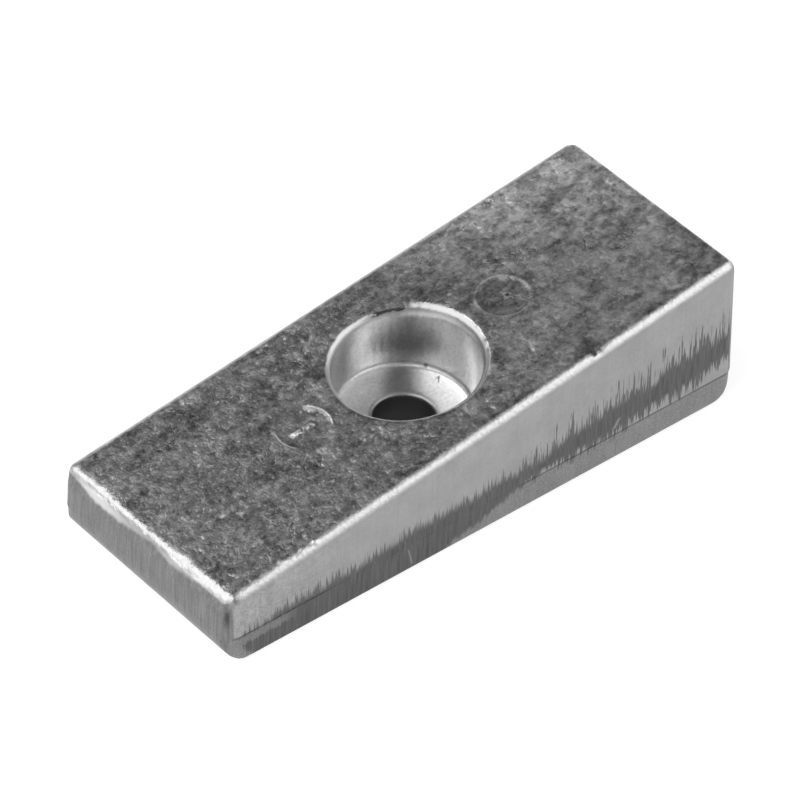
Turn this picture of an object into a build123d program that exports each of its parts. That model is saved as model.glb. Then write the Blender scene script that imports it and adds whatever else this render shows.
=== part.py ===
from build123d import *
import os
from math import cos, radians, sin, tan

# Wedge-shaped sacrificial anode, one die casting, held by one bolt through its middle.
# Millimetres. +Z points out of the mounting face and +X towards the thick end.
# The origin is on the bolt's axis, at the mounting face.

# Block
length = 70.0           # along X, at the parting plane
width = 27.7            # across Y, at the parting plane
middle_height = 13.6    # mounting face to the top face, on the bolt's axis
top_slope = 8.1         # degrees, the top face's rise towards the thick end

# Die halves, which meet on a plane parallel to the mounting face
parting_height = 3.6
parting_step = 0.05     # the lower half stands back by this much all round
upper_draft = 1.5       # degrees, on the walls above the parting plane
lower_draft = 0.9       # degrees, on the walls below it

# Rounded corners and edges
top_edge = 1.1          # all round the top face
corner_surplus = 0.2    # upright corners at the top face: their radius in plan over top_edge
lower_corner = 1.75     # upright corners below the parting plane, in plan
toe_radius = 3.5        # the end walls roll under into the mounting face
side_edge = 0.3         # the side walls meet the mounting face

# Bolt-head recess and bolt hole
recess_foot = 7.4       # radius of the recess's wall where it meets the floor
recess_draft = 5.6      # degrees, on the recess's wall
recess_depth = 6.65     # top face to the foot of the recess's wall, on the bolt's axis
recess_edge = 0.6       # rounding of the recess's mouth
foot_blend = 0.3        # rounding between the recess's wall and floor
floor_slope = 10.0      # degrees, the recess's floor falls towards the hole
hole_radius = 3.35
hole_edge = 0.3         # rounding of the hole's upper rim

# Witness marks of the two ejector pins, sunk a little into the top face
pin_radius = 2.95
pin_spacing = 27.4      # between the two marks, along the top face
pin_depth = 0.12

# Worked out from the sizes above
reach = length + width  # longer than the block from any of its faces
foot_height = middle_height - recess_depth
floor_drop = (recess_foot - hole_radius) * tan(radians(floor_slope))
hole_top = foot_height - floor_drop

parting_plane = Plane.XY.offset(parting_height)
top_plane = Plane(
    origin=(0, 0, middle_height),
    x_dir=(cos(radians(top_slope)), 0, sin(radians(top_slope))),
    z_dir=(-sin(radians(top_slope)), 0, cos(radians(top_slope))),
)


def rounded_outline(inset, corner):
    """The block's outline at the parting plane, drawn in by an inset."""
    outline = Rectangle(length - 2 * inset, width - 2 * inset)
    return fillet(outline.vertices(), corner)


def upper_half():
    """Walls above the parting plane, cut by the sloping top face, with the top edge rounded."""
    rise = middle_height + length / 2 * tan(radians(top_slope)) - parting_height
    corner = top_edge + corner_surplus + rise * tan(radians(upper_draft))
    walls = extrude(parting_plane * rounded_outline(0, corner), amount=2 * rise, taper=upper_draft)
    half = split(walls, bisect_by=top_plane, keep=Keep.BOTTOM)
    top_face = half.faces().filter_by(lambda face: face.normal_at().Z > 0.9)[0]
    return fillet(top_face.edges(), top_edge)


def drafted_section(across, foot_radius):
    """A section of the lower half: upright walls with its draft, rounded into the mounting face."""
    top = across / 2 - parting_step + parting_height * tan(radians(lower_draft))
    foot = across / 2 - parting_step - parting_height * tan(radians(lower_draft))
    section = Polygon(
        (-foot, 0), (foot, 0), (top, 2 * parting_height), (-top, 2 * parting_height), align=None
    )
    return fillet(section.vertices().sort_by(Axis.Y)[:2], foot_radius)


def lower_half():
    """Walls below the parting plane. The ends roll under with the toe's radius, the sides more tightly."""
    plan = extrude(
        parting_plane * rounded_outline(parting_step, lower_corner),
        amount=-parting_height,
        taper=lower_draft,
    )
    along = extrude(Plane.XZ * drafted_section(length, toe_radius), amount=reach, both=True)
    across = extrude(Plane.YZ * drafted_section(width, side_edge), amount=reach, both=True)
    return plan & along & across


def recess():
    """Space for the bolt's head, and the hole, turned about the bolt's axis."""
    above = middle_height + reach * tan(radians(top_slope)) - foot_height
    mouth = recess_foot + above * tan(radians(recess_draft))
    profile = Polygon(
        (0, -reach),
        (hole_radius, -reach),
        (hole_radius, hole_top),
        (recess_foot, foot_height),
        (mouth, foot_height + above),
        (0, foot_height + above),
        align=None,
    )
    foot = profile.vertices().sort_by_distance((recess_foot, foot_height, 0))[0]
    profile = fillet(foot, foot_blend)
    rim = profile.vertices().sort_by_distance((hole_radius, hole_top, 0))[0]
    profile = fillet(rim, hole_edge)
    return revolve(Plane.XZ * profile, axis=Axis.Z)


def pin_marks():
    """The two shallow rounds left by the ejector pins."""
    spots = Locations((-pin_spacing / 2, 0), (pin_spacing / 2, 0))
    rounds = [top_plane * spot * Circle(pin_radius) for spot in spots.local_locations]
    return [extrude(round_, amount=-pin_depth) for round_ in rounds]


def mouth_edge(block):
    """The edge where the recess's wall meets the top face."""
    mouth_radius = recess_foot + recess_depth * tan(radians(recess_draft))
    far = top_plane * Pos(mouth_radius, 0, 0)
    round_edges = block.edges().filter_by(GeomType.ELLIPSE) + block.edges().filter_by(GeomType.BSPLINE)
    return round_edges.sort_by_distance(far.position)[0]


def anode_casting():
    block = upper_half() + lower_half()
    block -= recess()
    block = fillet(mouth_edge(block), recess_edge)
    for mark in pin_marks():
        block -= mark
    return block


os.makedirs("parts", exist_ok=True)
casting = anode_casting()
casting.label = "anode_casting"
export_step(casting, "parts/anode_casting.step")
print("anode_casting", casting.is_valid, len(casting.solids()), round(casting.volume, 1), casting.bounding_box())
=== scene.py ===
"""Dresses the cast sacrificial anode: its skin, edges and finish, and the stage it stands on."""

import itertools
import math

import bmesh
import bpy
import numpy as np
from mathutils import Matrix, Vector
from mathutils.bvhtree import BVHTree


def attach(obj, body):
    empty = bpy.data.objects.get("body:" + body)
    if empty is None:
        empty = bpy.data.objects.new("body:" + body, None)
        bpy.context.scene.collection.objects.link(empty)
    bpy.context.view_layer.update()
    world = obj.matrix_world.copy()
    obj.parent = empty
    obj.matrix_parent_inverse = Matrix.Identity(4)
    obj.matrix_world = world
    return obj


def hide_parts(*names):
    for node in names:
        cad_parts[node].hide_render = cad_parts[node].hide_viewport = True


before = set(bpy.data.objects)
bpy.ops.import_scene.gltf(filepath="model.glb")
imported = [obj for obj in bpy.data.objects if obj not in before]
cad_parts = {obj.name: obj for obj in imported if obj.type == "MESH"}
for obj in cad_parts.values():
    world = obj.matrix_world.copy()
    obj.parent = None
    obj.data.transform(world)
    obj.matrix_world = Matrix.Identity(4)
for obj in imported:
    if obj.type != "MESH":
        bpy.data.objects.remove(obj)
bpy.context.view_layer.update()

bl_info = {
    "name": "Cast Anode",
    "version": (1, 0, 0),
    "blender": (4, 5, 0),
    "location": "View3D > Sidebar > Anode",
    "description": "Builds the cast skin of a wedge-shaped sacrificial anode and its stage",
    "category": "Add Mesh",
}

MM = 0.001
CASTING = "anode_casting"
PIECE = "cast_block"

# The casting's own sizes, in millimetres from the bolt's axis at the mounting face
TOP_SLOPE = math.radians(8.1)
MIDDLE_HEIGHT = 13.6
PARTING_HEIGHT = 3.6
HALF_LENGTH = 35.0
HALF_WIDTH = 13.85
TOP_EDGE = 1.1
UPPER_SLANT = math.tan(math.radians(1.5))
RECESS_MOUTH = 8.0
RECESS_EDGE = 0.6
RECESS_FOOT = 7.4
FOOT_HEIGHT = 6.95
HOLE_RADIUS = 3.35
HOLE_TOP = 6.24
PIN_RADIUS = 2.95
PIN_SPACING = 27.1

# Small marks, each by its place on the casting, in millimetres
PIN_OFFSET = 0.3
CRUMB_LINE_X = 13.8
CRUMB_LINE_Y = 0.1
CRUMB_LINE_LEAN = 0.07
PIN_RING = (14.03, 0.16)
PIN_RING_RADIUS = 0.36
EDGE_NICK = (15.4, -12.9, 15.75)
EDGE_NICK_PATCH = (15.2, -12.6)
FIRST_EDGE_BUMP = (-26.93, -12.6, 9.8)
SECOND_EDGE_BUMP = (-22.81, -12.9, 10.3)
ROUND_PIT = (6.31, 3.98, 7.0)
TICK_PIT = (6.2, 1.75, 6.9)
CORNER_CHIP = (-34.7, -13.5, 8.1)
CORNER_CHIP_PATCH = (-34.8, -13.6)
SCRATCH_HEIGHT = 1.9
DING_HEIGHT = 5.0

# Dents, below 0, and bumps, above it: place, size and height
BLOWS = (
    (EDGE_NICK, 0.8, -0.2),
    (FIRST_EDGE_BUMP, 0.6, 0.16),
    (SECOND_EDGE_BUMP, 0.6, 0.14),
    (ROUND_PIT, 0.35, -0.12),
    (TICK_PIT, 0.4, -0.12),
    (CORNER_CHIP, 0.6, -0.3),
)

# Bearings round the recess's mouth, as the share of y that is taken from x
FLASH_FIRST_END = 0.78
FLASH_SECOND_END = 0.26
FLASH_FLARE = 1.5
WIDE_MOUTH = 0.35

# Depths that the worn thin end and the wide part of the mouth are cut back by, in millimetres
END_WEAR = 0.34
MOUTH_WEAR = 0.14

# Tones and roughnesses of the finish, from 0 to 1; the bore's, the rim's and the near corner's tones are
# painted shade
LOW_BAND_TONE = 0.215
SCORED_TONE = 0.11
END_TONE = 0.185
RUBBED_TONE = 0.38
UNDERSIDE_TONE = 0.25
BORE_SHADE_TONE = 0.05
DARKEST_SKIN = 0.05
# The rim's grey is lowered as painted shade that dims the highlight on the recess's rounded mouth
RIM_SHADED_TONE = 0.52
FLOOR_SHARE = 0.5
WALL_SHARE = 1.12
FLASH_SHADE = 0.8
CORNER_PAINTED_SHADE = 0.75
CHIP_SHADE = 0.6
SKIN_ROUGH = 0.44
SIDE_ROUGH = 0.38
SCORED_ROUGH = 0.5
END_ROUGH = 0.4
UNDERSIDE_ROUGH = 0.46
RECESS_ROUGH = 0.28
RIM_ROUGH = 0.35
BORE_ROUGH = 0.6
EDGE_ROUGH = 0.37

# The lines that the finish is laid out by: places along the block and heights, in millimetres
SKIN_END = (
    (-13.0, -33.5),
    (-8.5, -33.6),
    (-5.0, -33.65),
    (-1.0, -33.9),
    (5.0, -33.85),
    (8.5, -33.7),
    (13.0, -34.0),
)
FACET_FOOT = (
    (-13.0, 8.5),
    (-10.0, 8.4),
    (-7.5, 7.8),
    (-4.0, 7.5),
    (-1.0, 8.1),
    (4.0, 7.4),
    (8.0, 7.3),
    (12.0, 8.0),
)
DRAG_TOP = (
    (-33.5, 3.0),
    (-32.0, 3.6),
    (-30.0, 3.8),
    (-27.0, 3.9),
    (-23.7, 3.7),
    (-20.5, 4.0),
    (-17.3, 3.9),
    (-14.5, 4.4),
    (-9.4, 4.9),
    (-1.2, 4.8),
    (5.0, 5.4),
    (8.0, 6.6),
    (14.5, 8.0),
    (22.6, 8.6),
    (26.6, 9.6),
    (31.4, 9.8),
    (34.0, 10.4),
)
DRAG_FOOT = (
    (-6.5, -0.6),
    (-4.5, 0.8),
    (-1.6, 1.3),
    (1.5, 2.4),
    (5.0, 3.5),
    (17.0, 3.5),
    (20.5, 4.2),
    (28.0, 4.4),
    (30.2, 5.0),
    (33.5, 5.9),
)

# Heights from LINE_LOW to LINE_LOW + LINE_SPAN fit the 0 to 1 of a ramp
LINE_LOW = -40.0
LINE_SPAN = 80.0


def smoothstep(low, high, value):
    """0 below low, 1 above high, smooth between. It also runs down, where low is over high."""
    t = np.clip((value - low) / (high - low), 0.0, 1.0)
    return t * t * (3 - 2 * t)


class Grain:
    """Seeded smooth noise in space, read at many points at once."""

    def __init__(self, seed):
        chance = np.random.default_rng(seed)
        self.order = chance.permutation(256)
        slopes = chance.normal(size=(256, 3))
        self.slopes = slopes / np.linalg.norm(slopes, axis=1)[:, None]

    def smooth(self, points):
        """One layer of noise with a grain size of 1."""
        cell = np.floor(points).astype(int)
        part = points - cell
        fade = part**3 * (part * (part * 6 - 15) + 10)
        total = np.zeros(len(points))
        for corner in itertools.product((0, 1), repeat=3):
            spot = self.order[(cell[:, 0] + corner[0]) & 255]
            spot = self.order[(spot + cell[:, 1] + corner[1]) & 255]
            spot = self.order[(spot + cell[:, 2] + corner[2]) & 255]
            lean = ((part - corner) * self.slopes[spot]).sum(axis=1)
            total += lean * np.prod(np.where(corner, fade, 1 - fade), axis=1)
        return total * 1.6

    def rough(self, points, size, octaves=1):
        """Noise of a grain size in millimetres, with finer and fainter layers over it, about -1 to 1."""
        total = np.zeros(len(points))
        for octave in range(octaves):
            total += self.smooth(points * (2**octave / size) + 31.7 * octave) * 0.5**octave
        return total


def below_top(points):
    """Depth of each point under the sloping top face."""
    rise = MIDDLE_HEIGHT + points[:, 0] * math.tan(TOP_SLOPE)
    return (rise - points[:, 2]) * math.cos(TOP_SLOPE)


# ---------------------------------------------------------------- casting


def merged_copy(node):
    """A bmesh of a CAD node with its loose triangles joined."""
    mesh = bmesh.new()
    mesh.from_mesh(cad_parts[node].data)
    bmesh.ops.remove_doubles(mesh, verts=mesh.verts, dist=2e-6)
    return mesh


def even_mesh(source, spacing):
    """The same closed form in even small squares, its points back on the form's own surface."""
    mesh = bpy.data.meshes.new("even")
    source.to_mesh(mesh)
    holder = bpy.data.objects.new("even", mesh)
    bpy.context.scene.collection.objects.link(holder)
    remesh = holder.modifiers.new("even", "REMESH")
    remesh.mode = "VOXEL"
    remesh.voxel_size = spacing
    remesh.use_smooth_shade = True
    depsgraph = bpy.context.evaluated_depsgraph_get()
    result = bpy.data.meshes.new_from_object(holder.evaluated_get(depsgraph))
    bpy.data.objects.remove(holder)
    surface = BVHTree.FromBMesh(source)
    for vertex in result.vertices:
        vertex.co = surface.find_nearest(vertex.co)[0]
    return result


def read_points(mesh):
    """The mesh's points, in millimetres."""
    flat = np.empty(len(mesh.vertices) * 3, np.float32)
    mesh.vertices.foreach_get("co", flat)
    return flat.reshape(-1, 3).astype(float) / MM


def read_normals(mesh):
    """The direction that each point faces."""
    flat = np.empty(len(mesh.vertices) * 3, np.float32)
    mesh.vertex_normals.foreach_get("vector", flat)
    return flat.reshape(-1, 3).astype(float)


def write_points(mesh, points):
    """Puts the mesh's points at places given in millimetres."""
    mesh.vertices.foreach_set("co", (points * MM).astype(np.float32).ravel())
    mesh.update()


def line_height(line, places):
    """Height of a laid-out line at each place along it."""
    at, height = zip(*line)
    return np.interp(places, at, height)


def skin_relief(points):
    """Height of the cast skin over the true top face: granular at the thin end, wrinkled at the thick."""
    thin_end = smoothstep(16.0, -8.0, points[:, 0])
    swell = Grain(1).rough(points, 9.0, 2) * 0.06
    lumps = Grain(2).rough(points, 1.5, 2) * 0.035
    flow = Grain(3).rough(points * (0.5, 1.0, 1.0), 2.6, 2)
    folds = np.exp(-((flow / 0.07) ** 2)) * smoothstep(-0.1, 0.3, Grain(4).rough(points, 6.0, 1))
    return swell + lumps * (0.5 + 0.5 * thin_end) - folds * 0.09


def blow(points, place, size, height):
    """A round dent or bump of a given size and height at a place."""
    distance = np.linalg.norm(points - np.array(place), axis=1)
    return height * smoothstep(size, 0.0, distance)


def pin_relief(points):
    """The burrs that stand round the two ejector-pin marks, and the crumbs and ring inside them."""
    x, y = points[:, 0], points[:, 1]
    relief = np.zeros(len(points))
    for side in (-1, 1):
        away = np.hypot(x - side * PIN_SPACING / 2, y - PIN_OFFSET)
        relief += 0.06 * np.exp(-(((away - PIN_RADIUS - 0.05) / 0.17) ** 2))
    crumbs = np.abs(y - CRUMB_LINE_Y + (x + CRUMB_LINE_X) * CRUMB_LINE_LEAN)
    along = np.abs(x + CRUMB_LINE_X)
    lumpy = 0.5 + 1.2 * Grain(9).rough(points, 0.55, 1)
    relief += 0.22 * smoothstep(0.5, 0.1, crumbs) * smoothstep(1.6, 1.1, along) * np.clip(lumpy, 0, 1)
    ring = np.hypot(x - PIN_RING[0], y - PIN_RING[1])
    relief += 0.06 * np.exp(-(((ring - PIN_RING_RADIUS) / 0.14) ** 2))
    return relief


def flash_relief(points, normals):
    """The short stretch of the recess's mouth left sharp and ragged, filling its rounded edge."""
    x, y = points[:, 0], points[:, 1]
    radius = np.hypot(x, y)
    lean = (radius - RECESS_MOUTH) * FLASH_FLARE
    stretch = smoothstep(0.3, -0.5, x - y * FLASH_FIRST_END - lean)
    stretch *= smoothstep(-0.3, 0.5, x - y * FLASH_SECOND_END + lean)
    upward = normals[:, 2] * math.cos(TOP_SLOPE) - normals[:, 0] * math.sin(TOP_SLOPE)
    inward = -(normals[:, 0] * x + normals[:, 1] * y) / np.maximum(radius, 1.0)
    corner = RECESS_EDGE * (1.0 / np.clip(np.maximum(upward, inward), 0.7, 1.0) - 1.0)
    near = smoothstep(9.4, 8.9, radius) * smoothstep(1.3, 0.9, below_top(points))
    crumbs = Grain(9).rough(points, 0.5, 2) * 0.08 * smoothstep(0.05, 0.2, corner)
    return (corner + crumbs) * stretch * near


def displaced(points, normals):
    """Every point moved along its normal by the relief of the zone it lies in."""
    x, y = points[:, 0], points[:, 1]
    depth = below_top(points)
    radius = np.hypot(x, y)
    ragged = Grain(5).rough(points, 0.9, 2) * 0.16
    on_skin = smoothstep(0.32, 0.10, depth + ragged * 0.3)
    on_skin *= smoothstep(RECESS_MOUTH + 0.35, RECESS_MOUTH + 0.7, radius + ragged)
    end_gap = x - line_height(SKIN_END, y) + ragged
    on_skin *= smoothstep(-0.2, 0.2, end_gap)
    shift = on_skin * (0.04 + skin_relief(points) + pin_relief(points))
    worn = smoothstep(0.15, -1.0, end_gap) * smoothstep(2.2, 0.5, depth)
    shift -= END_WEAR * worn
    wide_mouth = smoothstep(8.95, 8.3, radius) * smoothstep(1.2, 0.3, depth)
    wide_mouth *= smoothstep(-0.5, 5.0, x - y * WIDE_MOUTH)
    shift -= MOUTH_WEAR * wide_mouth
    shift += flash_relief(points, normals)
    for place, size, height in BLOWS:
        shift += blow(points, place, size, height)
    return points + normals * shift[:, None]


def soften(mesh):
    """Rounds off the facets of the form, and leaves the step at the parting line sharp."""
    work = bmesh.new()
    work.from_mesh(mesh)
    over, under = (PARTING_HEIGHT + 0.5) * MM, (PARTING_HEIGHT - 0.5) * MM
    soft = [vertex for vertex in work.verts if vertex.co.z > over or vertex.co.z < under]
    for _ in range(3):
        bmesh.ops.smooth_vert(work, verts=soft, factor=0.5, use_axis_x=True, use_axis_y=True, use_axis_z=True)
    work.to_mesh(mesh)
    work.free()


def flatten_underside(mesh):
    """Swaps the small squares of the flat underside for a few large faces."""
    work = bmesh.new()
    work.from_mesh(mesh)
    flat = [f for f in work.faces if all(v.co.z < 0.01 * MM for v in f.verts)]
    bmesh.ops.delete(work, geom=flat, context="FACES")
    rim = [e for e in work.edges if e.is_boundary]
    for vertex in {v for e in rim for v in e.verts}:
        vertex.co.z = 0.0
    made = bmesh.ops.triangle_fill(work, edges=rim, normal=(0.0, 0.0, -1.0))
    for face in made["geom"]:
        if isinstance(face, bmesh.types.BMFace):
            face.smooth = False
            if face.normal.z > 0:
                face.normal_flip()
    work.to_mesh(mesh)
    work.free()


class ANODE_OT_casting(bpy.types.Operator):
    """Build the casting with its rough skin and give it the alloy's finish"""

    bl_idname = "anode.casting"
    bl_label = "Casting"

    def execute(self, context):
        finish = context.scene.anode_finish
        source = merged_copy(CASTING)
        mesh = even_mesh(source, finish.spacing)
        source.free()
        mesh.shade_smooth()
        soften(mesh)
        points = read_points(mesh)
        write_points(mesh, displaced(points, read_normals(mesh)))
        flatten_underside(mesh)
        mesh.name = PIECE
        piece = bpy.data.objects.new(PIECE, mesh)
        context.scene.collection.objects.link(piece)
        mesh.materials.clear()
        mesh.materials.append(alloy_material(finish))
        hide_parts(CASTING)
        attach(piece, "root")
        return {"FINISHED"}


# ---------------------------------------------------------------- material


class Socket:
    """A shader socket that takes part in sums: each operator adds its Math node."""

    def __init__(self, tree, link):
        self.tree = tree
        self.link = link

    def node(self, kind, settings=None, **inputs):
        """A node of a type: its settings first, then its sockets' values or links, by number or name."""
        made = self.tree.nodes.new(kind)
        for key, value in (settings or {}).items():
            if key == "stops":
                set_stops(made.color_ramp, value)
            else:
                setattr(made, key, value)
        for key, value in inputs.items():
            numbered = key[0] == "i" and key[1:].isdigit()
            target = made.inputs[int(key[1:]) if numbered else key.replace("_", " ")]
            if isinstance(value, Socket):
                self.tree.links.new(value.link, target)
            else:
                target.default_value = value
        return Socket(self.tree, made.outputs[0] if made.outputs else None)

    def outlet(self, name):
        """Another outlet of the node that this socket belongs to."""
        return Socket(self.tree, self.link.node.outputs[name])

    def feed(self, node, name):
        """Links this socket to a named socket of a node that is there already."""
        self.tree.links.new(self.link, node.inputs[name])

    def math(self, operation, other=0.0):
        """A Math node on this socket and another value."""
        return self.node("ShaderNodeMath", {"operation": operation}, i0=self, i1=other)

    def __add__(self, other):
        return self.math("ADD", other)

    def __sub__(self, other):
        return self.math("SUBTRACT", other)

    def __mul__(self, other):
        return self.math("MULTIPLY", other)

    def __truediv__(self, other):
        return self.math("DIVIDE", other)

    def __rsub__(self, other):
        return self.node("ShaderNodeMath", {"operation": "SUBTRACT"}, i0=other, i1=self)

    __radd__ = __add__
    __rmul__ = __mul__

    def lowest(self, other):
        return self.math("MINIMUM", other)

    def highest(self, other):
        return self.math("MAXIMUM", other)

    def absolute(self):
        return self.math("ABSOLUTE")

    def near_zero(self, outer, inner):
        """1 where this is within inner of zero, and 0 beyond outer, smooth between."""
        return self.absolute().step(outer, inner)

    def step(self, low, high):
        """0 below low and 1 above high, smooth between; runs down where low is over high."""
        falling = low > high
        first, last = (high, low) if falling else (low, high)
        return self.node(
            "ShaderNodeMapRange",
            {"interpolation_type": "SMOOTHSTEP"},
            i0=self,
            i1=first,
            i2=last,
            i3=1.0 if falling else 0.0,
            i4=0.0 if falling else 1.0,
        )

    def blend(self, first, second):
        """Mixes two numbers by this mask."""
        return self.node("ShaderNodeMix", {"data_type": "FLOAT"}, i0=self, i2=first, i3=second)


def set_stops(ramp, stops):
    """Gives a ramp grey stops, each a place and a value."""
    while len(ramp.elements) < len(stops):
        ramp.elements.new(1.0)
    for element, (place, value) in zip(ramp.elements, stops):
        element.position = place
        element.color = (value, value, value, 1.0)


def grey(value):
    """A grey colour of a value."""
    return (value, value, value, 1.0)


class Place:
    """Object coordinates in millimetres, and the distances that the finish is laid out by."""

    def __init__(self, tree):
        start = Socket(tree, None)
        metres = start.node("ShaderNodeTexCoord").outlet("Object")
        self.point = start.node("ShaderNodeVectorMath", {"operation": "SCALE"}, i0=metres, i3=1 / MM)
        split = start.node("ShaderNodeSeparateXYZ", i0=self.point)
        self.x, self.y, self.z = (split.outlet(axis) for axis in "XYZ")
        self.below_top = (self.x * math.tan(TOP_SLOPE) + MIDDLE_HEIGHT - self.z) * math.cos(TOP_SLOPE)
        self.radius = (self.x * self.x + self.y * self.y).math("SQRT")

    def stretched(self, x, y, z):
        """The place with each axis scaled, which draws a pattern out along the axes scaled down."""
        return self.point.node("ShaderNodeVectorMath", {"operation": "MULTIPLY"}, i0=self.point, i1=(x, y, z))

    def noise(self, size, detail=3.0, rough=0.55, distortion=0.0, at=None, shift=0.0):
        """Noise of a grain size in millimetres, about -1 to 1. Each shift gives a pattern of its own."""
        where = at or self.point
        aside = (shift, shift * 1.7, -shift)
        moved = self.point.node("ShaderNodeVectorMath", {"operation": "ADD"}, i0=where, i1=aside)
        value = self.point.node(
            "ShaderNodeTexNoise",
            {"noise_dimensions": "3D"},
            Vector=moved,
            Scale=1.0 / size,
            Detail=detail,
            Roughness=rough,
            Distortion=distortion,
        )
        return value * 4.0 - 2.0

    def line(self, along, line):
        """Height of a laid-out line at each place along the block."""
        low, high = -HALF_LENGTH, HALF_LENGTH
        stops = [((at - low) / (high - low), (height - LINE_LOW) / LINE_SPAN) for at, height in line]
        share = (along - low) / (high - low)
        return self.point.node("ShaderNodeValToRGB", {"stops": stops}, Fac=share) * LINE_SPAN + LINE_LOW

    def off(self, x, y):
        """Distance from an upright line through x, y."""
        across, over = self.x - x, self.y - y
        return (across * across + over * over).math("SQRT")


def pin_finish(place):
    """Painted highlights on the pin marks' burrs, small ring and crumbs, and how much darker the ground
    inside them.
    """
    ring_noise = place.noise(1.2, 2.0, shift=31.0) * 0.4
    left, right = place.off(-PIN_SPACING / 2, PIN_OFFSET), place.off(PIN_SPACING / 2, PIN_OFFSET)
    left_ring = (left - PIN_RADIUS - 0.05).near_zero(0.16, 0.04)
    left_ring = left_ring * (place.x + 13.55 + place.y * 0.1 + ring_noise).absolute().step(2.1, 2.7)
    right_ring = (right - PIN_RADIUS - 0.05).near_zero(0.22, 0.05) * (0.5 - ring_noise * 0.5)
    right_ring = right_ring * (place.x - 13.5 - place.y * 0.3).step(2.6, 0.5)
    from_ring = place.off(*PIN_RING)
    small_ring = (from_ring - PIN_RING_RADIUS).near_zero(0.16, 0.06)
    along = place.x + CRUMB_LINE_X
    across = place.y - CRUMB_LINE_Y + along * CRUMB_LINE_LEAN
    crumbs = across.near_zero(0.45, 0.15) * along.near_zero(1.6, 1.1)
    crumbs = crumbs * place.noise(0.45, 2.0, shift=33.0).step(-0.4, 0.3)
    # Painted highlights: the burrs, the small ring and the crumbs are painted lighter
    painted_highlights = left_ring * 0.4 + right_ring * 0.3 + small_ring * 0.15 + crumbs * 0.55
    ground = left.step(3.0, 2.8) * 0.10 + right.step(3.0, 2.8) * 0.2
    pit = from_ring.step(0.28, 0.1) * 0.5
    return painted_highlights, ground + pit


def skin_finish(place, finish):
    """The rough cast skin on top: its grey, its height in millimetres and its roughness."""
    thin_end = place.x.step(16.0, -8.0)
    sand = place.noise(0.28, 2.0, 0.6)
    grain = place.noise(0.62, 3.0, 0.6, 0.2)
    lumps = place.noise(1.3, 3.0, 0.6, 0.2)
    flow = place.noise(3.0, 4.0, 0.6, 0.5, at=place.stretched(0.6, 1.0, 1.0), shift=7.0)
    cloud = place.noise(7.0, 2.0, 0.5, shift=3.0)
    patches = place.noise(2.2, 4.0, 0.65, at=place.stretched(0.6, 1.0, 1.0), shift=21.0).step(0.05, 0.6)
    pale_patches = place.noise(2.6, 4.0, 0.65, at=place.stretched(0.7, 1.0, 1.0), shift=27.0).step(0.1, 0.7)
    # Painted glints: light flecks painted where the skin's lumps would catch the lamps
    painted_glints = place.noise(0.5, 2.0, 0.5, shift=5.0).step(0.35, 0.8)
    folds = flow.near_zero(0.10, 0.0) * place.noise(5.0, 2.0, shift=11.0).step(-0.1, 0.4)
    corner = (place.x * 0.7 + place.y).step(14.0, 30.0)
    by_recess = place.off(-9.0, 7.5).step(5.5, 3.0) * lumps.step(0.1, 0.7)
    blotch = place.off(14.8, -12.1).step(1.9, 0.9)
    by_edge = (place.y + lumps * 0.8).step(-10.5, -12.5) * place.x.step(-5.0, 8.0)
    painted_highlights, ground = pin_finish(place)
    # The grey and the bump height share the sand, grain, lumps and folds noises: besides the skin's own
    # mottle, the hollows and the folds' creases are painted darker and the crests lighter, as painted shade
    tone = 1 + sand * 0.18 + grain * (thin_end * 0.06 + 0.30) + lumps * 0.46 + flow * 0.24 + cloud * 0.18
    tone = tone * (finish.skin_tone - thin_end * 0.070 + corner * 0.20)
    tone = tone + painted_glints * (thin_end * 0.12 + 0.04) + pale_patches * 0.05 + by_recess * 0.08 + painted_highlights
    tone = tone * (1 - patches * (by_edge * 0.2 + 0.42)) * (1 - folds * 0.45)
    tone = tone * (1 - blotch * 0.45) * (1 - ground) * (1 - by_edge * 0.25)
    height = grain * (thin_end * 0.012 + 0.012) + lumps * 0.022 + sand * 0.003 - folds * 0.025
    rough = SKIN_ROUGH + grain * 0.05
    return tone.highest(DARKEST_SKIN), height, rough


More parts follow.
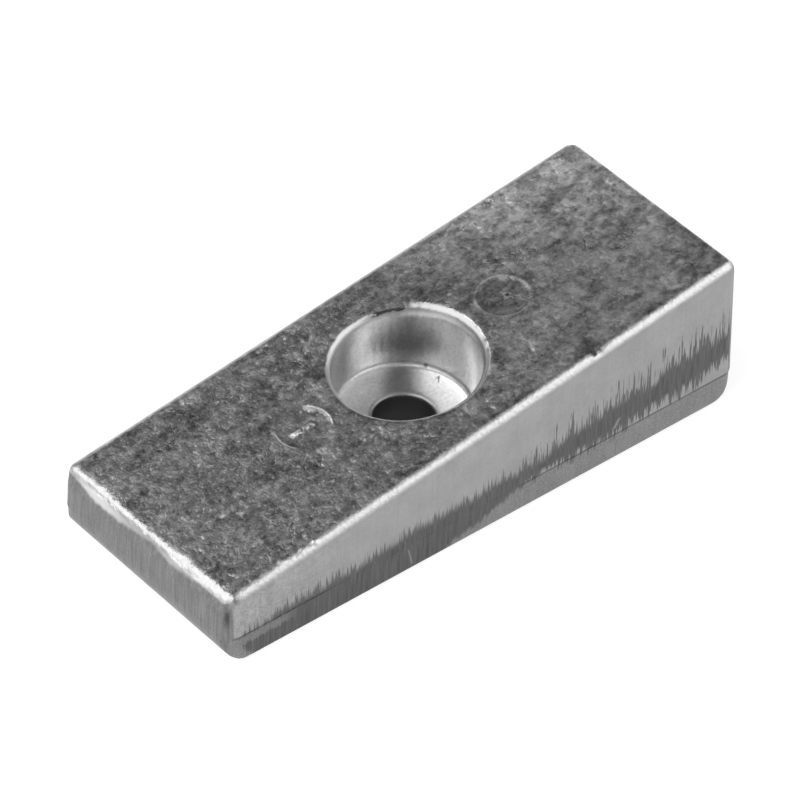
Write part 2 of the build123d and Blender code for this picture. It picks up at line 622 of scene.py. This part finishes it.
def side_finish(place, finish):
    """The long sides: pale and sandy over a dark band that the draw from the die has scored."""
    streaks = place.noise(0.34, 3.0, 0.65, at=place.stretched(1.0, 1.0, 0.04))
    fine_streaks = place.noise(0.17, 2.0, 0.5, at=place.stretched(1.0, 1.0, 0.05), shift=1.0)
    wide_streaks = place.noise(1.3, 2.0, 0.5, at=place.stretched(1.0, 1.0, 0.05), shift=4.0)
    reach = place.x.step(0.0, 12.0) * 1.3 + 0.8
    spikes = (streaks * 0.8 + fine_streaks * 0.9).step(-0.6, 1.0).math("POWER", 1.3)
    spikes = spikes * 2.9 + wide_streaks * 0.4 - 0.7
    sand = place.noise(0.22, 3.0, 0.6, shift=2.0)
    cloud = place.noise(3.0, 3.0, 0.5, shift=9.0)
    lift = place.x.step(8.0, 3.0) * place.x.step(-31.0, -27.0) * 0.7
    top_line = place.line(place.x, DRAG_TOP) + lift + spikes * reach * 0.62
    hanging = (streaks + fine_streaks * 0.6).step(-0.6, 0.8) - 0.5
    foot_line = place.line(place.x, DRAG_FOOT) - hanging * reach * 0.9
    band = (place.z - top_line).step(0.7, -0.7) * (place.z - foot_line).step(-0.4, 0.4)
    below = place.z.step(PARTING_HEIGHT + 0.05, PARTING_HEIGHT - 0.05)
    near_end = place.x.step(-16.0, -30.0)
    grit = place.noise(0.6, 2.0, 0.5, shift=47.0)
    pale = finish.wall_tone + sand * (near_end * 0.045 + 0.022) + grit * (near_end * 0.035 + 0.006)
    pale = pale + cloud * 0.025 + streaks * (near_end * 0.022 + 0.012)
    low = LOW_BAND_TONE + sand * 0.065 + cloud * 0.02 + streaks * 0.02
    scored = SCORED_TONE + (streaks + fine_streaks) * 0.026 + sand * 0.012
    tone = below.blend(pale, low)
    unscored = place.x.step(-25.0, -28.0) * (place.z - 2.9 + streaks * 0.5).near_zero(0.8, 0.4)
    corner_gap = (place.x + place.z * 0.8 + 31.3 - fine_streaks * 0.5).step(0.6, -0.4) * below
    band = band * (1 - unscored * 0.7) * (1 - corner_gap)
    tone = band.blend(tone, scored)
    # Painted shade: a thin dark line along the parting step, stronger towards both ends of the side
    parting_step_shade = (place.z - PARTING_HEIGHT + 0.02).near_zero(0.24, 0.08)
    clear_line = place.x.step(-20.0, -23.0).highest(place.x.step(3.0, 7.0))
    line_shade = place.noise(2.0, 2.0, shift=35.0) * 0.15 + 0.12 + clear_line * 0.36
    tone = tone * (1 - parting_step_shade * line_shade)
    up_scratch = place.z - SCRATCH_HEIGHT
    scratch = (place.x + 10.5 + up_scratch * 0.25).near_zero(0.12, 0.04) * up_scratch.near_zero(1.3, 0.9)
    up_ding = place.z - DING_HEIGHT
    ding = (place.x - 17.8 - up_ding * 0.7).near_zero(0.35, 0.15) * up_ding.near_zero(0.7, 0.4)
    near_side = place.y.step(0.0, -1.0)
    tone = tone + scratch.highest(ding) * near_side * 0.12
    height = sand * 0.008 + band * streaks * 0.012
    rough = band.blend(SIDE_ROUGH, SCORED_ROUGH)
    return tone, height, rough


def end_finish(place):
    """The end faces: mid grey with fine upright draw lines, and a brighter rubbed strip at the top."""
    streaks = place.noise(0.3, 3.0, 0.6, at=place.stretched(1.0, 1.0, 0.06), shift=6.0)
    cloud = place.noise(2.5, 3.0, 0.5, shift=8.0)
    ragged = place.noise(0.7, 2.0, 0.5, at=place.stretched(1.0, 1.0, 0.3), shift=15.0)
    foot = place.line(place.y, FACET_FOOT) + ragged * 0.12
    rubbed = (place.z - foot).step(-0.2, 0.35) * place.x.step(0.0, -30.0)
    sand = place.noise(0.22, 2.0, 0.6, shift=16.0)
    tone = END_TONE + streaks * 0.05 + sand * 0.025 + cloud * 0.015
    tone = rubbed.blend(tone, RUBBED_TONE + cloud * 0.03 + place.y.step(2.0, 7.0) * 0.2)
    return tone, streaks * 0.008, END_ROUGH


def underside_finish(place):
    """The flat mounting face: an even sandy grey, faintly clouded, with slight flow marks."""
    sand = place.noise(0.25, 3.0, 0.6, shift=41.0)
    cloud = place.noise(6.0, 3.0, 0.5, shift=43.0)
    flow = place.noise(2.6, 4.0, 0.6, 0.5, at=place.stretched(0.5, 1.0, 1.0), shift=45.0)
    tone = UNDERSIDE_TONE + sand * 0.035 + cloud * 0.02 + flow * 0.025
    return tone, sand * 0.006, UNDERSIDE_ROUGH


def recess_finish(place, finish):
    """The bolt-head recess: smooth, softly mottled, with its bore painted near black as painted shade,
    painted shade on its rounded foot and lip, and a painted sheen on its wall.
    """
    mottle = place.noise(0.35, 3.0, 0.6, shift=12.0)
    cloud = place.noise(2.0, 2.0, 0.5, shift=14.0)
    bore = place.radius.step(HOLE_RADIUS + 0.12, HOLE_RADIUS - 0.02)
    bore = bore * place.z.step(HOLE_TOP + 0.3, HOLE_TOP - 0.2)
    # Painted shade: the fillet at the wall's foot and the rounded lip of the hole are painted darker to dim
    # their highlights, the foot more on its lighter side; they are also made rougher
    foot = (place.radius - RECESS_FOOT + 0.12).near_zero(0.32, 0.08)
    foot = foot * (place.z - FOOT_HEIGHT).near_zero(0.7, 0.3)
    lip = (place.radius - HOLE_RADIUS - 0.15).near_zero(0.4, 0.15)
    lip = lip * (place.z - HOLE_TOP).near_zero(0.5, 0.3)
    # Painted reflection: the recess wall is painted lighter on its +x, -y side and darker on the opposite
    # side
    painted_sheen = (place.x * 0.75 - place.y * 0.66) / RECESS_FOOT
    fillet_shade = (foot * (painted_sheen * 0.7 + 1.1)).highest(lip)
    tick_x, tick_y = TICK_PIT[:2]
    tick = (place.x - tick_x - (place.y - tick_y) * 0.9).near_zero(0.16, 0.08)
    tick = tick * place.off(tick_x, tick_y).step(0.6, 0.4)
    pits = place.off(*ROUND_PIT[:2]).step(0.3, 0.1).highest(tick) * place.z.step(7.6, 7.3)
    on_wall = (place.z - FOOT_HEIGHT).step(-0.2, 0.2)
    tone = (mottle * 0.11 + cloud * 0.06 + finish.recess_tone) * (1 - fillet_shade * 0.4)
    tone = tone * on_wall.blend(FLOOR_SHARE, painted_sheen * 0.26 + WALL_SHARE) * (1 - pits * 0.6)
    # Painted shade: the bore is painted near black for the shade inside the hole
    tone = bore.blend(tone, BORE_SHADE_TONE)
    rough = bore.blend(RECESS_ROUGH, BORE_ROUGH) + fillet_shade * 0.15
    return tone, mottle * 0.003, rough


class Zones:
    """Masks that say where each finish of the casting lies, and where shade is painted, 1 inside and 0
    outside.
    """

    def __init__(self, place):
        ragged = place.noise(0.9, 4.0, 0.6)
        fringe = place.noise(0.35, 2.0, 0.5, shift=2.5)
        self.end_gap = place.x - place.line(place.y, SKIN_END) + ragged * 0.25 + fringe * 0.12
        self.near_rim = place.radius.step(10.5, 9.8)
        self.wide_mouth = (place.x - place.y * WIDE_MOUTH).step(-0.5, 5.0)
        self.inside = place.radius.step(RECESS_MOUTH + 1.4, RECESS_MOUTH + 1.1)
        flash_side = self.flash_stretch(place, ragged)
        self.on_skin = self.skin(place, ragged, fringe, flash_side)
        self.wall = (place.below_top + ragged * 0.05).step(TOP_EDGE * 0.2, TOP_EDGE * 0.75)
        self.wall = self.wall * (1 - self.inside)
        self.on_end = place.x.absolute().step(HALF_LENGTH - 1.3, HALF_LENGTH - 0.9)
        self.on_rim = self.inside * (1 - self.on_skin)
        self.on_rim = self.on_rim * (place.below_top + fringe * 0.04).step(1.1, 0.4)
        self.on_underside = (place.z + fringe * 0.03).step(0.22, 0.08)
        self.on_underside = self.on_underside * place.radius.step(HOLE_RADIUS + 0.1, HOLE_RADIUS + 0.4)
        self.flash = flash_side * place.radius.step(RECESS_MOUTH + 0.35, RECESS_MOUTH + 0.15)
        self.flash = self.flash * (place.below_top + ragged * 0.15).step(0.42, 0.30)
        # Painted reflection: the near rounded corner of the thin end is painted dark down its upper part
        self.corner = (place.x - place.y + HALF_LENGTH - HALF_WIDTH).near_zero(0.6, 0.15)
        self.corner = self.corner * (place.x + place.y).step(-47.3, -47.8) * place.z.step(4.0, 7.5)
        self.chipped = place.off(*CORNER_CHIP_PATCH).step(0.7, 0.3) * place.z.step(7.4, 8.0)

    def flash_stretch(self, place, ragged):
        """The part of the recess's mouth where the flash stands."""
        lean = (place.radius - RECESS_MOUTH) * FLASH_FLARE
        stretch = (place.x - place.y * FLASH_FIRST_END - lean + ragged * 0.8).step(0.2, -0.3)
        stretch = stretch * (place.x - place.y * FLASH_SECOND_END + lean + ragged * 0.5).step(-0.1, 0.4)
        return stretch * place.radius.step(10.0, 9.5)

    def skin(self, place, ragged, fringe, flash_side):
        """The rough skin: the top face as far as its ragged borders, and the nick in the long edge."""
        rim_gap = place.radius - RECESS_MOUTH - 0.46 + ragged * 0.07
        rim_gap = rim_gap - self.wide_mouth * 0.32 + flash_side * 0.85
        rounding = self.near_rim * (1 - flash_side) * RECESS_EDGE
        half_width = HALF_WIDTH - TOP_EDGE - (place.z - PARTING_HEIGHT) * UPPER_SLANT
        side_gap = half_width - place.y.absolute()
        top = (place.below_top - rounding + ragged * 0.06 + fringe * 0.03).step(0.22, 0.12)
        top = top * (side_gap + ragged * 0.10 + fringe * 0.06).step(-0.42, -0.02)
        top = top * rim_gap.step(-0.1, 0.1) * self.end_gap.step(-0.08, 0.08)
        nick = (place.off(*EDGE_NICK_PATCH) + fringe * 0.1).step(1.0, 0.6)
        return top.highest(nick * place.below_top.step(0.32, 0.16))


def edge_finish(place, zones, finish):
    """The bright rounded edges, dimmer at the worn thin end and beside the recess."""
    tone = finish.edge_tone + place.noise(0.5, 3.0) * 0.05
    tone = tone * (1 - (zones.end_gap - 0.5).step(0.5, -0.5) * 0.5) * (1 - zones.near_rim * 0.5)
    return tone, place.noise(0.4, 3.0) * 0.018, EDGE_ROUGH


def rim_finish(place, zones):
    """The rounded mouth of the recess, painted darker than the recess as painted shade that dims its
    highlight, and darker still on its wide side.
    """
    tone = (1 - zones.wide_mouth * 0.5) * RIM_SHADED_TONE
    return tone, place.noise(0.4, 3.0) * 0.006, RIM_ROUGH


def alloy_material(finish):
    """The casting's finish: mottled skin on top, bright edges, smooth walls with a drag-scored band, with
    painted shade, highlights and sheen in places.
    """
    material = bpy.data.materials.new("cast_alloy")
    material.use_nodes = True
    tree = material.node_tree
    shader = tree.nodes["Principled BSDF"]
    place = Place(tree)
    zones = Zones(place)
    finishes = zip(
        skin_finish(place, finish),
        side_finish(place, finish),
        end_finish(place),
        recess_finish(place, finish),
        edge_finish(place, zones, finish),
        rim_finish(place, zones),
        underside_finish(place),
    )
    parts = []
    for skin, side, end, recess, edge, rim, underside in finishes:
        walls = zones.on_end.blend(side, end)
        part = zones.wall.blend(edge, walls)
        part = zones.inside.blend(part, recess)
        part = zones.on_rim.blend(part, rim)
        part = zones.on_skin.blend(part, skin)
        parts.append(zones.on_underside.blend(part, underside))
    tone, height, rough = parts
    # The near corner's painted dark reflection, and the darker flash and chip
    tone = tone * (1 - zones.corner * CORNER_PAINTED_SHADE) * (1 - zones.flash * FLASH_SHADE)
    tone = tone * (1 - zones.chipped * CHIP_SHADE)
    place.point.node("ShaderNodeCombineColor", i0=tone, i1=tone, i2=tone).feed(shader, "Base Color")
    rough.feed(shader, "Roughness")
    shader.inputs["Metallic"].default_value = 1.0
    bump = place.point.node("ShaderNodeBump", Strength=1.0, Distance=MM, Height=height)
    bump.feed(shader, "Normal")
    return material


# ---------------------------------------------------------------- stage

TARGET_DISTANCE = 631.5 * MM
VIEW_DEGREES = -41.06
VIEW_AZIMUTH = math.radians(VIEW_DEGREES)
VIEW_ELEVATION = math.radians(40.96)
VIEW_ROLL = math.radians(1.98)
VIEW_OFFSET = (-0.278 * MM, 6.325 * MM)
FOCAL_PIXELS = 5946.7
PICTURE_SIDE = 800
SENSOR = 36.0
NEAREST_SEEN = 0.01
FARTHEST_SEEN = 20.0
HORIZON_LEVEL = 0.9
CEILING_LEVEL = 0.28
OVERHEAD_LEVEL = 0.12
FLOOR_REACH = 3.0
FLOOR_GREY = 0.36
FLOOR_GLOW = 0.74
LAMP_DISTANCE = 0.7
LAMP_ELEVATION = 44.0
LAMP_HEIGHT = 0.8

# Each lamp's name, degrees round from the camera, width in metres and power in watts
LAMPS = (
    ("softbox_left", -75.0, 1.2, 10.2),
    ("softbox_right", 92.0, 0.9, 3.3),
)


def bearing(azimuth, elevation):
    """Direction from the block to a place at an azimuth round it and an elevation over it, in radians."""
    return Vector(
        (
            math.sin(azimuth) * math.cos(elevation),
            -math.cos(azimuth) * math.cos(elevation),
            math.sin(elevation),
        )
    )


def view_axes():
    """The camera's right, up and backward directions."""
    azimuth = VIEW_AZIMUTH
    back = bearing(azimuth, VIEW_ELEVATION)
    level = Vector((math.cos(azimuth), math.sin(azimuth), 0.0))
    turn = Matrix.Rotation(VIEW_ROLL, 3, back)
    right = turn @ level
    return right, back.cross(right), back


def add_camera(scene):
    """The camera, aimed a little beside the block's origin."""
    right, up, back = view_axes()
    camera = bpy.data.cameras.new("camera")
    camera.sensor_width = SENSOR
    camera.lens = FOCAL_PIXELS * SENSOR / PICTURE_SIDE
    camera.clip_start = NEAREST_SEEN
    camera.clip_end = FARTHEST_SEEN
    holder = bpy.data.objects.new("camera", camera)
    scene.collection.objects.link(holder)
    turned = Matrix((right, up, back)).transposed().to_4x4()
    turned.translation = back * TARGET_DISTANCE + right * VIEW_OFFSET[0] + up * VIEW_OFFSET[1]
    holder.matrix_world = turned
    scene.camera = holder


def add_lamp(scene, name, turn, width, power):
    """An area lamp aimed at the block, by how far round from the camera it stands."""
    lamp = bpy.data.lights.new(name, "AREA")
    lamp.energy = power
    lamp.shape = "RECTANGLE"
    lamp.size = width
    lamp.size_y = LAMP_HEIGHT
    holder = bpy.data.objects.new(name, lamp)
    back = bearing(math.radians(VIEW_DEGREES + turn), math.radians(LAMP_ELEVATION))
    holder.location = back * LAMP_DISTANCE + Vector((0, 0, MIDDLE_HEIGHT * MM / 2))
    holder.rotation_mode = "QUATERNION"
    holder.rotation_quaternion = (-back).to_track_quat("-Z", "Y")
    scene.collection.objects.link(holder)


def add_floor(scene):
    """A matte floor that shows white to the camera and keeps the block's shadow."""
    work = bmesh.new()
    bmesh.ops.create_grid(work, x_segments=1, y_segments=1, size=FLOOR_REACH)
    mesh = bpy.data.meshes.new("floor")
    work.to_mesh(mesh)
    work.free()
    floor = bpy.data.objects.new("floor", mesh)
    scene.collection.objects.link(floor)
    material = bpy.data.materials.new("floor")
    material.use_nodes = True
    tree = material.node_tree
    tree.nodes.clear()
    start = Socket(tree, None)
    ray = start.node("ShaderNodeLightPath")
    mirrored = ray.outlet("Is Glossy Ray") + ray.outlet("Is Transmission Ray")
    seen = (ray.outlet("Is Camera Ray") + mirrored).lowest(1.0)
    matte = start.node("ShaderNodeBsdfDiffuse", Color=grey(FLOOR_GREY))
    glow = start.node("ShaderNodeEmission", Color=grey(1.0), Strength=FLOOR_GLOW)
    dark = start.node("ShaderNodeEmission", Color=grey(0.0), Strength=0.0)
    extra = start.node("ShaderNodeMixShader", i0=seen, i1=dark, i2=glow)
    both = start.node("ShaderNodeAddShader", i0=matte, i1=extra)
    start.node("ShaderNodeOutputMaterial", Surface=both)
    mesh.materials.append(material)


def add_world(scene):
    """A plain studio: pale at the level of the horizon and dim overhead, the same for every ray."""
    world = bpy.data.worlds.new("studio")
    scene.world = world
    world.use_nodes = True
    tree = world.node_tree
    start = Socket(tree, None)
    direction = start.node("ShaderNodeTexCoord").outlet("Generated")
    height = start.node("ShaderNodeSeparateXYZ", i0=direction).outlet("Z")
    level = height.step(0.05, 0.45).blend(HORIZON_LEVEL, CEILING_LEVEL)
    level = height.step(0.82, 0.97).blend(level, OVERHEAD_LEVEL)
    background = tree.nodes["Background"]
    background.inputs["Color"].default_value = grey(1.0)
    level.feed(background, "Strength")


class ANODE_OT_stage(bpy.types.Operator):
    """Set out the pale floor, the lamps, the world and the camera"""

    bl_idname = "anode.stage"
    bl_label = "Stage"

    def execute(self, context):
        scene = context.scene
        scene.view_settings.view_transform = "Standard"
        add_floor(scene)
        add_world(scene)
        for lamp in LAMPS:
            add_lamp(scene, *lamp)
        add_camera(scene)
        return {"FINISHED"}


# ---------------------------------------------------------------- add-on


def tone_property(name, description, default):
    """A grey from 0 to 1 that a user can change."""
    return bpy.props.FloatProperty(
        name=name, description=description, default=default, min=0.0, max=1.0, subtype="FACTOR"
    )


class AnodeFinish(bpy.types.PropertyGroup):
    """The mesh spacing and the tones that the casting is built with"""

    spacing: bpy.props.FloatProperty(
        name="Mesh spacing",
        description="Side of the casting's small squares",
        default=0.24 * MM,
        min=0.05 * MM,
        unit="LENGTH",
    )
    skin_tone: tone_property("Skin tone", "Grey of the rough skin on top", 0.258)
    wall_tone: tone_property("Wall tone", "Grey of the pale upper part of the long sides", 0.305)
    edge_tone: tone_property("Edge tone", "Grey of the bright rounded edges", 0.6)
    recess_tone: tone_property("Recess tone", "Grey of the recess's wall", 0.7)


class ANODE_PT_panel(bpy.types.Panel):
    """Lists the steps that build the anode"""

    bl_idname = "ANODE_PT_panel"
    bl_label = "Cast Anode"
    bl_space_type = "VIEW_3D"
    bl_region_type = "UI"
    bl_category = "Anode"

    def draw(self, context):
        finish = context.scene.anode_finish
        for name in AnodeFinish.__annotations__:
            self.layout.prop(finish, name)
        for step in STEPS:
            self.layout.operator(step.bl_idname)


STEPS = (ANODE_OT_casting, ANODE_OT_stage)
CLASSES = (AnodeFinish, *STEPS, ANODE_PT_panel)


def register():
    """Makes the classes and the finish known to the scene."""
    for cls in CLASSES:
        bpy.utils.register_class(cls)
    bpy.types.Scene.anode_finish = bpy.props.PointerProperty(type=AnodeFinish)


def unregister():
    """Takes the finish and the classes away again."""
    del bpy.types.Scene.anode_finish
    for cls in reversed(CLASSES):
        bpy.utils.unregister_class(cls)


def main():
    """Builds the casting and its stage."""
    register()
    bpy.ops.anode.casting()
    bpy.ops.anode.stage()


if __name__ == "__main__":
    main()
